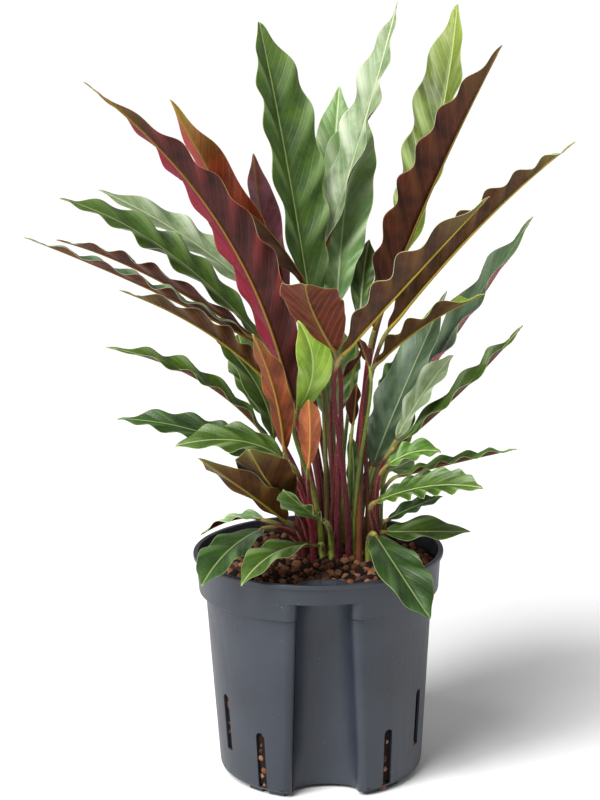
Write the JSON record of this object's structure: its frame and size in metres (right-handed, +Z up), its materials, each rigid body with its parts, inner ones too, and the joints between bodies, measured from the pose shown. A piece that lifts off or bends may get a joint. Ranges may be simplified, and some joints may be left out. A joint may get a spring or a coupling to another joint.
{
  "type": "potted calathea plant",
  "caption": "Upright calathea with long wavy-edged leaves, green above and maroon beneath, in a blue-grey slotted culture pot filled with clay granules.",
  "frame": {"origin": "middle of the circle that the pot's feet stand on, on the low pad under its floor", "axes": "+Z up, the gauge groove faces -Y (turned 2 degrees towards +X), +X to the right seen from the front"},
  "size_m": [0.4488, 0.3444, 0.6692],
  "materials": {
    "pot": "satin blue-grey moulded plastic",
    "granules": "rough fired clay, brown to orange",
    "leaf_green": "glossy green upper face",
    "leaf_pale": "pale, backlit green",
    "leaf_maroon": "satin maroon-brown underside",
    "leaf_amber": "young orange-brown underside"
  },
  "bodies": {
    "root": {"pot": "pot", "granules": "granules", "leaf_01": "leaf_maroon", "leaf_02": "leaf_maroon", "leaf_03": "leaf_maroon", "leaf_04": "leaf_maroon", "leaf_05": "leaf_green", "leaf_06": "leaf_green", "leaf_07": "leaf_pale", "leaf_08": "leaf_pale", "leaf_09": "leaf_green", "leaf_10": "leaf_maroon", "leaf_11": "leaf_maroon", "leaf_12": "leaf_maroon", "leaf_13": "leaf_green", "leaf_14": "leaf_maroon", "leaf_15": "leaf_green", "leaf_16": "leaf_pale", "leaf_17": "leaf_green", "leaf_18": "leaf_green", "leaf_19": "leaf_pale", "leaf_20": "leaf_green", "leaf_21": "leaf_green", "leaf_22": "leaf_green", "leaf_23": "leaf_green", "leaf_24": "leaf_green", "leaf_25": "leaf_green", "leaf_26": "leaf_green", "leaf_27": "leaf_pale", "leaf_28": "leaf_maroon", "leaf_29": "leaf_maroon", "leaf_30": "leaf_green", "leaf_31": "leaf_green", "leaf_32": "leaf_green", "leaf_33": "leaf_green", "leaf_34": "leaf_maroon", "leaf_35": "leaf_maroon", "leaf_36": "leaf_maroon", "leaf_37": "leaf_green", "leaf_38": "leaf_pale", "leaf_39": "leaf_green", "leaf_40": "leaf_maroon", "leaf_41": "leaf_amber", "leaf_42": "leaf_pale", "leaf_43": "leaf_amber", "leaf_44": "leaf_amber", "leaf_45": "leaf_green", "leaf_46": "leaf_green", "leaf_47": "leaf_green", "leaf_48": "leaf_green", "leaf_49": "leaf_pale", "leaf_50": "leaf_green", "leaf_51": "leaf_green", "leaf_52": "leaf_green", "leaf_53": "leaf_green", "leaf_54": "leaf_green"}
  },
  "joints": []
}
